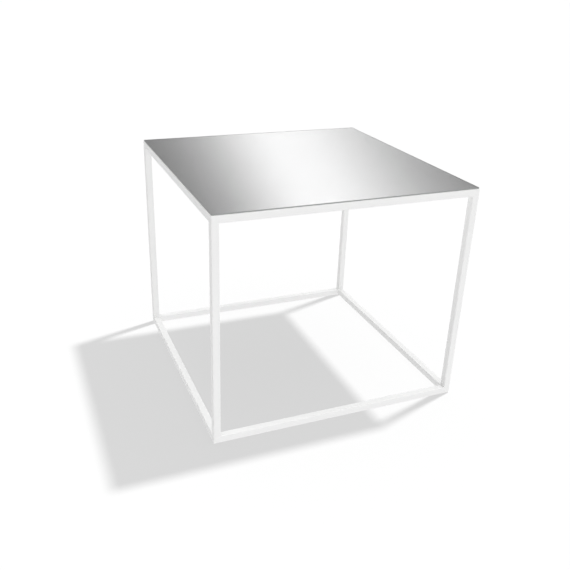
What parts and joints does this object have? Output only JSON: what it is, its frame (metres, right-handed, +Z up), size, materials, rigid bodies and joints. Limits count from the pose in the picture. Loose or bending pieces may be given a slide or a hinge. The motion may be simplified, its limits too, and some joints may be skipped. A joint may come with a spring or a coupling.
{
  "type": "side table",
  "caption": "Cube-shaped open side table: a frame of thin white square tube with a thin square mirror plate laid on top.",
  "frame": {"origin": "on the floor, under the middle of the table", "axes": "+Z up from the floor, -Y towards the front, +X to the right of someone facing the front"},
  "size_m": [0.55, 0.55, 0.479],
  "materials": {
    "powder_coat": "fine satin powder coat on steel",
    "glide": "matt moulded",
    "grip_dot": "clear soft silicone",
    "glass": "polished float glass with ground edges",
    "silvering": "mirror",
    "backing_film": "matt white film"
  },
  "bodies": {
    "frame": {"bottom_rail_front": "powder_coat", "bottom_rail_right": "powder_coat", "bottom_rail_back": "powder_coat", "bottom_rail_left": "powder_coat", "top_rail_front": "powder_coat", "top_rail_right": "powder_coat", "top_rail_back": "powder_coat", "top_rail_left": "powder_coat", "leg_front_right": "powder_coat", "leg_back_right": "powder_coat", "leg_back_left": "powder_coat", "leg_front_left": "powder_coat", "floor_glide_front_right": "glide", "floor_glide_back_right": "glide", "floor_glide_back_left": "glide", "floor_glide_front_left": "glide", "grip_dot_front_right": "grip_dot", "grip_dot_back_right": "grip_dot", "grip_dot_back_left": "grip_dot", "grip_dot_front_left": "grip_dot", "grip_dot_front": "grip_dot", "grip_dot_right": "grip_dot", "grip_dot_back": "grip_dot", "grip_dot_left": "grip_dot"},
    "mirror_top": {"mirror_glass": "glass", "mirror_silvering": "silvering", "mirror_backing_film": "backing_film"}
  },
  "joints": [
    {"name": "mirror_lift", "type": "slide", "parent": "frame", "child": "mirror_top", "axis": [0, 0, 1], "range_m": [0, 0.12]}
  ]
}
